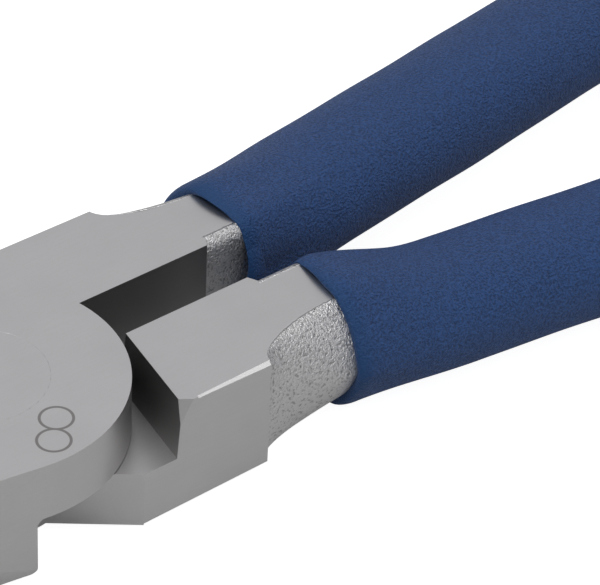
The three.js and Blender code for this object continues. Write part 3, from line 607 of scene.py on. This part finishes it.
class GripForm:
    """Sizes of one grip, measured on slices of its CAD node and of the lever inside it."""

    def __init__(self, position):
        grip = triangles_of(f"{position}_grip")
        self.lever = triangles_of(f"{position}_lever")
        low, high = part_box(f"{position}_grip")
        stations = np.linspace(low.x + MOUTH_LENGTH + MOUTH_MARGIN, high.x - END_MARGIN, SLICES)
        cuts = [slice_at(grip, x) for x in stations]
        middles = [(cut.min(0) + cut.max(0)) / 2 for cut in cuts]
        self.line = np.polyfit(stations, [m[0] for m in middles], 3)
        self.slope = np.polyder(self.line)
        mouth_half = np.ptp(slice_at(grip, low.x + MOUTH_MARGIN)[:, 0]) / 2
        self.start = low.x + mouth_half * abs(math.sin(math.atan(np.polyval(self.slope, low.x))))
        self.start += MOUTH_SHIFT[position]
        self.outward = 1.0 if (low.y + high.y) > 0 else -1.0
        self.height = float(np.median([m[1] for m in middles]))
        lean = np.cos(np.arctan(np.polyval(self.slope, stations)))
        widths = np.array([np.ptp(cut[:, 0]) / 2 for cut in cuts]) * lean
        heights = np.array([np.ptp(cut[:, 1]) / 2 for cut in cuts])
        self.plain = (float(np.median(widths)), float(np.median(heights)))
        tilt_end = math.atan(np.polyval(self.slope, high.x))
        self.end = high.x - END_TILT_SHARE * self.plain[0] * abs(math.sin(tilt_end))

    def middle(self, x):
        """Height of the centre line: level with the head at the mouth, then its own."""
        return HEAD_MIDDLE + (self.height - HEAD_MIDDLE) * self.share(x)

    def share(self, x):
        """How far the section at x has changed from the mouth's to the plain oval."""
        return smooth((x - self.start) / MOUTH_LENGTH)

    def place(self, x, angles, reach):
        """Points of rings square to the centre line: x is where each ring's middle lies on the
        line, and reach the distance from it at each angle."""
        tilt = np.arctan(np.polyval(self.slope, x))[:, None]
        slant = MOUTH_SLANT * self.outward * (1 - self.share(x))[:, None]
        across = reach * np.cos(angles)
        px = x[:, None] - across * np.sin(tilt - slant)
        py = np.polyval(self.line, x)[:, None] + across * np.cos(tilt)
        pz = self.middle(x)[:, None] + reach * np.sin(angles)
        return np.stack([px, py, pz], -1)

    def steel_reach(self, x, angles):
        """The steel's own outline about the centre line at one station."""
        tilt = math.atan(np.polyval(self.slope, x))
        middle = (float(np.polyval(self.line, x)), float(self.middle(np.float64(x))))
        cut = (slice_at(self.lever, x) - middle) * [math.cos(tilt), 1.0]
        return polar_outline(cut, (0.0, 0.0), angles)

    def mouth_reach(self, angles):
        """The neck's outline with the dipped wall on it, thicker on the outer side, and its
        corners eased as a thick liquid leaves them: the outline's first few harmonics."""
        steel = self.steel_reach(float(self.start + MOUTH_INSET), angles[0])
        waves = np.fft.rfft(steel)
        keep = np.exp(-((np.arange(len(waves)) / MOUTH_HARMONICS) ** 2))
        eased = np.fft.irfft(waves * keep, len(steel))
        wall = MOUTH_WALL + MOUTH_LEAN * self.outward * np.cos(angles[0])
        return np.maximum(eased, steel - THINNING * MOUTH_WALL) + wall

    def outer_reach(self, x, angles):
        """The grip's outer section: the neck's own at the mouth, a plain oval further back, with
        the slight unevenness of a dipped skin, which is a sum of slow waves."""
        share = self.share(x)[:, None]
        plain = superellipse(angles, *self.plain, GRIP_EXPONENT)
        uneven = sum(weight * np.sin(x[:, None] / length + around * angles + phase)
                     for length, around, phase, weight in UNEVEN_WAVES)
        return self.mouth_reach(angles)[None, :] * (1 - share) + plain * share + UNEVENNESS * uneven

    def inner_reach(self, x, angles):
        """The steel's outline at each ring, so the skin sits tight on neck and tang."""
        return np.array([self.steel_reach(float(at), angles[0]) for at in x]) - SKIN_BITE


def grip_rings(form):
    """Rings of a dipped sock in one run: up the inner wall from its closed end to the mouth,
    round the rolled lip, and back along the outside to the domed end."""
    angles = np.linspace(0.0, 2.0 * math.pi, GRIP_SEGMENTS, endpoint=False)[None, :]
    wave = LIP_WAVE * (np.sin(3 * angles + 0.6) + 0.6 * np.sin(5 * angles + 2.1))
    inner_x = np.linspace(form.end - END_WALL, form.start + LIP_DEPTH, INNER_STEPS)
    inner = form.inner_reach(inner_x, angles)
    rings = [form.place(inner_x, angles, inner)]
    edge_x = np.array([form.start + LIP_DEPTH])
    edge_out = form.outer_reach(edge_x, angles)
    edge_in = inner[-1:]
    middle, half = (edge_out + edge_in) / 2, (edge_out - edge_in) / 2
    for turn in np.linspace(math.pi, 0.0, LIP_STEPS)[1:-1]:
        depth = LIP_DEPTH if turn < math.pi / 2 else LIP_INNER_DEPTH
        forward = LIP_DEPTH - depth * (1 - math.sin(turn))
        ring = form.place(edge_x, angles, middle + half * math.cos(turn))
        ring[..., 0] += wave * math.sin(turn) - forward
        rings.append(ring)
    dome = form.plain[0]
    fine = np.linspace(0.0, 1.0, OUTER_STEPS)
    spread = OUTER_CROWDING * fine ** 3 + (1 - OUTER_CROWDING) * fine
    outer_x = edge_x + (form.end - dome - edge_x) * spread
    rings.append(form.place(outer_x, angles, form.outer_reach(outer_x, angles)))
    for turn in np.linspace(0.0, math.pi / 2, DOME_STEPS)[1:-1]:
        x = np.array([form.end - dome * (1 - math.sin(turn))])
        reach = form.outer_reach(outer_x[-1:], angles) * math.cos(turn) ** DOME_POWER
        rings.append(form.place(x, angles, reach))
    return np.concatenate(rings)


# ---------------------------------------------------------------- properties


class NippersFinish(bpy.types.PropertyGroup):
    """Colours of the finishes, as linear RGB."""

    steel: bpy.props.FloatVectorProperty(
        name="Steel", description="Colour of the levers' ground and blasted steel",
        default=linear("#d3d2d1"), subtype="COLOR", size=3, min=0.0, max=1.0)
    vinyl: bpy.props.FloatVectorProperty(
        name="Grips", description="Colour of the dipped grips",
        default=linear("#2d5187"), subtype="COLOR", size=3, min=0.0, max=1.0)
    carbide: bpy.props.FloatVectorProperty(
        name="Carbide", description="Colour of the ground carbide wheels",
        default=linear("#8f9196"), subtype="COLOR", size=3, min=0.0, max=1.0)
    oxide: bpy.props.FloatVectorProperty(
        name="Black oxide", description="Colour of the screws' black oxide",
        default=linear("#2c2c2f"), subtype="COLOR", size=3, min=0.0, max=1.0)
    spring: bpy.props.FloatVectorProperty(
        name="Spring steel", description="Colour of the split washers",
        default=linear("#b3b0aa"), subtype="COLOR", size=3, min=0.0, max=1.0)


class NippersSizes(bpy.types.PropertyGroup):
    """Small sizes that the frame doesn't hold."""

    edge_break: bpy.props.FloatProperty(
        name="Edge break", description="Width of the small round on the levers' machined edges",
        default=0.00017, unit="LENGTH", min=0.00002, max=0.0005, precision=5)
    small_break: bpy.props.FloatProperty(
        name="Small edge break", description="Round on the edges of wheels, screws and washers",
        default=0.00012, unit="LENGTH", min=0.00002, max=0.0004, precision=5)
    pebble: bpy.props.FloatProperty(
        name="Grip pebble", description="Width of one pebble of the dipped skin",
        default=0.00023, unit="LENGTH", min=0.0001, max=0.002, precision=5)


def finish_of(context):
    """The scene's colours."""
    return context.scene.nippers_finish


def sizes_of(context):
    """The scene's small sizes."""
    return context.scene.nippers_sizes


# ---------------------------------------------------------------- operators


class NIPPERS_OT_levers(bpy.types.Operator):
    """Builds both levers from merged copies of their frame meshes, with every edge broken"""

    bl_idname = "nippers.levers"
    bl_label = "Levers"

    def execute(self, context):
        colour = tuple(finish_of(context).steel)
        for position in SIDES:
            node = f"{position}_lever"
            mesh = bpy.data.meshes.new(f"{node}_forging")
            work = bmesh.new()
            work.from_mesh(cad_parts[node].data)
            bmesh.ops.remove_doubles(work, verts=work.verts, dist=MERGE_DISTANCE)
            bmesh.ops.dissolve_limit(work, angle_limit=FLATNESS, verts=work.verts, edges=work.edges)
            for edge in work.edges:
                by_jaw = all(JAW_FACETS[0] < vert.co.x < JAW_FACETS[1] for vert in edge.verts)
                crease = JAW_CREASE if by_jaw else CREASE
                edge.smooth = edge.calc_face_angle(0.0) < crease
            work.to_mesh(mesh)
            work.free()
            for layer in [a for a in mesh.attributes if a.name == "custom_normal"]:
                mesh.attributes.remove(layer)
            mesh.polygons.foreach_set("use_smooth", np.ones(len(mesh.polygons), bool))
            piece = bpy.data.objects.new(f"{node}_forging", mesh)
            context.scene.collection.objects.link(piece)
            bevel = piece.modifiers.new("edge break", "BEVEL")
            bevel.width = sizes_of(context).edge_break
            bevel.segments = 2
            bevel.limit_method = "ANGLE"
            bevel.angle_limit = BREAK_ANGLE
            keep_flat(piece)
            finish_piece(piece, node, "forged_steel", lever_steel(colour, position == "upper"), node)
        return {"FINISHED"}


class NIPPERS_OT_rivet(bpy.types.Operator):
    """Turns the flush pivot rivet"""

    bl_idname = "nippers.rivet"
    bl_label = "Pivot rivet"

    def execute(self, context):
        low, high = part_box("pivot_rivet")
        head = (high.x - low.x) / 2 + RIVET_FIT
        shank = head - RIVET_TAPER
        profile = rounded([
            (AXIS_GAP, low.z), (head, low.z), (shank, low.z + RIVET_TAPER_DEPTH),
            (shank, high.z - RIVET_TAPER_DEPTH), (head, high.z), (AXIS_GAP, high.z)],
            False, RIVET_ROUND)
        piece = skin("pivot_rivet_turned", turn_profile(profile, (0.0, 0.0), RIVET_SEGMENTS))
        keep_flat(piece)
        material = lever_steel(tuple(finish_of(context).steel), False)
        finish_piece(piece, "lower_lever", "rivet_steel", material, "pivot_rivet")
        return {"FINISHED"}


class NIPPERS_OT_grips(bpy.types.Operator):
    """Lofts both dipped grips over the levers' tangs"""

    bl_idname = "nippers.grips"
    bl_label = "Grips"

    def execute(self, context):
        mouth = min(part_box(f"{position}_grip")[0].x for position in SIDES)
        material = dipped_vinyl(tuple(finish_of(context).vinyl), sizes_of(context).pebble, mouth)
        for position in SIDES:
            rings = grip_rings(GripForm(position))
            piece = skin(f"{position}_grip_dipped", rings, sharp_angle=60.0)
            finish_piece(piece, f"{position}_lever", "vinyl", material, f"{position}_grip")
        return {"FINISHED"}


class NIPPERS_OT_wheels(bpy.types.Operator):
    """Turns both round carbide cutting wheels"""

    bl_idname = "nippers.cutting_wheels"
    bl_label = "Cutting wheels"

    def execute(self, context):
        edge = sizes_of(context).small_break
        for position in SIDES:
            node = f"{position}_cutting_wheel"
            centre, half = middle_of(node)
            top, base = centre.z + half.z, centre.z - half.z
            rim = half.x - WHEEL_BEVEL
            profile = rounded([
                (WHEEL_BORE + BORE_CHAMFER, base), (rim, base),
                (half.x, centre.z - WHEEL_LAND), (half.x, centre.z + WHEEL_LAND),
                (rim, top), (WHEEL_BORE + BORE_CHAMFER, top),
                (WHEEL_BORE, top - BORE_CHAMFER), (WHEEL_BORE, base + BORE_CHAMFER)], True, edge)
            piece = skin(f"{node}_ground", turn_profile(profile, centre, WHEEL_SEGMENTS), capped=False)
            keep_flat(piece)
            material = turned_metal("ground tungsten carbide", tuple(finish_of(context).carbide),
                                    CARBIDE_ROUGHNESS, centre, CARBIDE_PITCH)
            finish_piece(piece, f"{position}_wheel", "carbide", material, node)
        return {"FINISHED"}


class NIPPERS_OT_screws(bpy.types.Operator):
    """Turns both hexagon-socket shoulder screws"""

    bl_idname = "nippers.wheel_screws"
    bl_label = "Wheel screws"

    def execute(self, context):
        for position in SIDES:
            node = f"{position}_wheel_screw"
            centre, half = middle_of(node)
            head = half.x
            base, top = (corner.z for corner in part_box(node))
            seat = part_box(f"{position}_cutting_wheel")[0].z
            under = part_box(f"{position}_wheel_washer")[1].z
            floor = top - SOCKET_DEPTH
            mouth = SOCKET_FLAT / math.cos(math.pi / 6) + SOCKET_CHAMFER
            # Radius, height, and 1 where the ring is a hexagon.
            rows = [(AXIS_GAP, base, 0), (THREAD_RADIUS - THREAD_CHAMFER, base, 0),
                    (THREAD_RADIUS, base + THREAD_CHAMFER, 0), (THREAD_RADIUS, seat, 0),
                    (SHOULDER_RADIUS, seat, 0), (SHOULDER_RADIUS, under, 0),
                    (head - HEAD_CHAMFER, under, 0), (head, under + HEAD_CHAMFER, 0),
                    (head, top - HEAD_ROUND, 0), (head - HEAD_EASE[0], top - HEAD_EASE[1], 0),
                    (head - HEAD_ROUND, top, 0), (mouth, top, 0),
                    (SOCKET_FLAT, top - SOCKET_CHAMFER, 1), (SOCKET_FLAT, floor, 1),
                    (CONE_RADIUS, floor - CONE_DEPTHS[0], 0), (AXIS_GAP, floor - CONE_DEPTHS[1], 0)]
            profile = [row[:2] for row in rows]
            shape = [row[2] for row in rows]
            piece = skin(f"{node}_turned", turn_profile(profile, centre, SCREW_SEGMENTS, shape))
            keep_flat(piece)
            material = turned_metal("black oxide on alloy steel", tuple(finish_of(context).oxide),
                                    OXIDE_ROUGHNESS, centre, OXIDE_PITCH, OXIDE_METALLIC)
            finish_piece(piece, f"{position}_lever", "black_oxide_steel", material, node)
        return {"FINISHED"}


class NIPPERS_OT_washers(bpy.types.Operator):
    """Coils both split spring washers"""

    bl_idname = "nippers.washers"
    bl_label = "Split washers"

    def execute(self, context):
        for position in SIDES:
            node = f"{position}_wheel_washer"
            centre, half = middle_of(node)
            outer = half.y
            base, top = (corner.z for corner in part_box(node))
            side = 1.0 if centre.y > 0 else -1.0
            section = rounded([(WHEEL_BORE, base), (outer, base), (outer, top), (WHEEL_BORE, top)],
                              True, WASHER_ROUND)
            gap = HALF_SPLIT / outer
            split = math.pi / 2 + SPLIT_TURN * side
            turn = np.linspace(split + gap, split + 2 * math.pi - gap, WASHER_STEPS)[:, None]
            x = centre.x + section[None, :, 0] * np.cos(turn)
            y = centre.y + section[None, :, 0] * np.sin(turn)
            z = np.broadcast_to(section[None, :, 1], x.shape)
            piece = skin(f"{node}_coiled", np.stack([x, y, z], -1))
            keep_flat(piece)
            material = turned_metal("zinc-plated spring steel", tuple(finish_of(context).spring),
                                    ZINC_ROUGHNESS, centre, ZINC_PITCH)
            finish_piece(piece, f"{position}_lever", "spring_steel", material, node)
        return {"FINISHED"}


# ---------------------------------------------------------------- stage


def camera_matrix():
    """The camera's place: back from the target along its view, and rolled about it."""
    level = Vector((math.cos(CAMERA_AZIMUTH), math.sin(CAMERA_AZIMUTH), 0.0))
    ahead = Vector((-level.y, level.x, 0.0))
    back = -ahead * math.cos(CAMERA_ELEVATION) + Vector((0, 0, math.sin(CAMERA_ELEVATION)))
    rise = ahead * math.sin(CAMERA_ELEVATION) + Vector((0, 0, math.cos(CAMERA_ELEVATION)))
    right = level * math.cos(CAMERA_ROLL) + rise * math.sin(CAMERA_ROLL)
    up = rise * math.cos(CAMERA_ROLL) - level * math.sin(CAMERA_ROLL)
    axes = Matrix((right, up, back)).transposed().to_4x4()
    return Matrix.Translation(CAMERA_TARGET + back * CAMERA_DISTANCE) @ axes


def light_world(scene):
    """A soft studio sky: brightest overhead and dimmer near the horizon. The camera sees white."""
    world = bpy.data.worlds.new("studio")
    world.use_nodes = True
    tree = world.node_tree
    tree.nodes.clear()
    direction = add(tree, "TexCoord")["Generated"]
    up = add(tree, "SeparateXYZ", {0: direction})["Z"]
    strength = add(tree, "MapRange", {
        "Value": up, "From Min": SKY_HEIGHTS[0], "From Max": SKY_HEIGHTS[1],
        "To Min": SKY_STRENGTHS[0], "To Max": SKY_STRENGTHS[1]},
        interpolation_type="SMOOTHSTEP")[0]
    sky = add(tree, "Background", {"Color": (*linear("#fbfbff"), 1.0), "Strength": strength})[0]
    white = add(tree, "Background", {"Color": (1, 1, 1, 1), "Strength": 1.0})[0]
    seen = add(tree, "LightPath")["Is Camera Ray"]
    mixed = add(tree, "MixShader", {0: seen, 1: sky, 2: white})[0]
    add(tree, "OutputWorld", {"Surface": mixed})
    scene.world = world


def pale_floor(height):
    """A large pale sheet at the object's lowest point, lit from below like a light table so the
    ground stays white."""
    mesh = bpy.data.meshes.new("floor")
    half = FLOOR_HALF
    corners = [(-half, -half, height), (half, -half, height), (half, half, height),
               (-half, half, height)]
    mesh.from_pydata(corners, [], [(0, 1, 2, 3)])
    floor = bpy.data.objects.new("floor", mesh)
    bpy.context.scene.collection.objects.link(floor)
    material = bpy.data.materials.new("white backlit sheet")
    material.use_nodes = True
    tree = material.node_tree
    tree.nodes.clear()
    paper = add(tree, "BsdfDiffuse", {"Color": (*(FLOOR_GREY,) * 3, 1.0)})[0]
    glow = add(tree, "Emission", {"Color": (1, 1, 1, 1), "Strength": FLOOR_GLOW})[0]
    dim = add(tree, "Emission", {"Color": (1, 1, 1, 1), "Strength": FLOOR_DIM})[0]
    seen = add(tree, "LightPath")["Is Camera Ray"]
    light = add(tree, "MixShader", {0: seen, 1: dim, 2: glow})[0]
    both = add(tree, "AddShader", {0: paper, 1: light})[0]
    add(tree, "OutputMaterial", {"Surface": both})
    mesh.materials.append(material)


def area_light(name, place, target, size, power):
    """A square soft light at place, facing target."""
    data = bpy.data.lights.new(name, "AREA")
    data.shape = "SQUARE"
    data.size = size
    data.energy = power
    light = bpy.data.objects.new(name, data)
    light.location = place
    light.rotation_euler = (Vector(target) - Vector(place)).to_track_quat("-Z", "Y").to_euler()
    bpy.context.scene.collection.objects.link(light)


class NIPPERS_OT_stage(bpy.types.Operator):
    """Sets the pale floor, the soft light and the camera"""

    bl_idname = "nippers.stage"
    bl_label = "Stage"

    def execute(self, context):
        scene = context.scene
        lowest = CAD_BOUNDS[0][2]
        pale_floor(lowest - FLOOR_GAP)
        light_world(scene)
        for name, (place, size, power) in LIGHTS.items():
            area_light(name, place, LIGHT_TARGET, size, power)
        data = bpy.data.cameras.new("camera")
        data.sensor_width = 36.0
        data.lens = CAMERA_LENS
        data.clip_start = 0.01
        camera = bpy.data.objects.new("camera", data)
        scene.collection.objects.link(camera)
        camera.matrix_world = camera_matrix()
        scene.camera = camera
        scene.view_settings.view_transform = "Standard"
        return {"FINISHED"}


# ---------------------------------------------------------------- panel and registration


class NIPPERS_PT_panel(bpy.types.Panel):
    """Lists the finishes, the sizes and the pieces"""

    bl_idname = "NIPPERS_PT_panel"
    bl_label = "Nippers"
    bl_space_type = "VIEW_3D"
    bl_region_type = "UI"
    bl_category = "Nippers"

    def draw(self, context):
        layout = self.layout
        for group in (finish_of(context), sizes_of(context)):
            for name in group.__annotations__:
                layout.prop(group, name)
        for operator in OPERATORS:
            layout.operator(operator.bl_idname)


OPERATORS = (
    NIPPERS_OT_stage,
    NIPPERS_OT_levers,
    NIPPERS_OT_rivet,
    NIPPERS_OT_grips,
    NIPPERS_OT_wheels,
    NIPPERS_OT_screws,
    NIPPERS_OT_washers,
)
CLASSES = (NippersFinish, NippersSizes, *OPERATORS, NIPPERS_PT_panel)


def register():
    for cls in CLASSES:
        bpy.utils.register_class(cls)
    bpy.types.Scene.nippers_finish = bpy.props.PointerProperty(type=NippersFinish)
    bpy.types.Scene.nippers_sizes = bpy.props.PointerProperty(type=NippersSizes)


def unregister():
    del bpy.types.Scene.nippers_sizes
    del bpy.types.Scene.nippers_finish
    for cls in reversed(CLASSES):
        bpy.utils.unregister_class(cls)


def main():
    """Builds the whole tool and its stage."""
    register()
    bpy.ops.nippers.stage()
    bpy.ops.nippers.levers()
    bpy.ops.nippers.rivet()
    bpy.ops.nippers.grips()
    bpy.ops.nippers.cutting_wheels()
    bpy.ops.nippers.wheel_screws()
    bpy.ops.nippers.washers()
    bpy.context.view_layer.update()


if __name__ == "__main__":
    main()
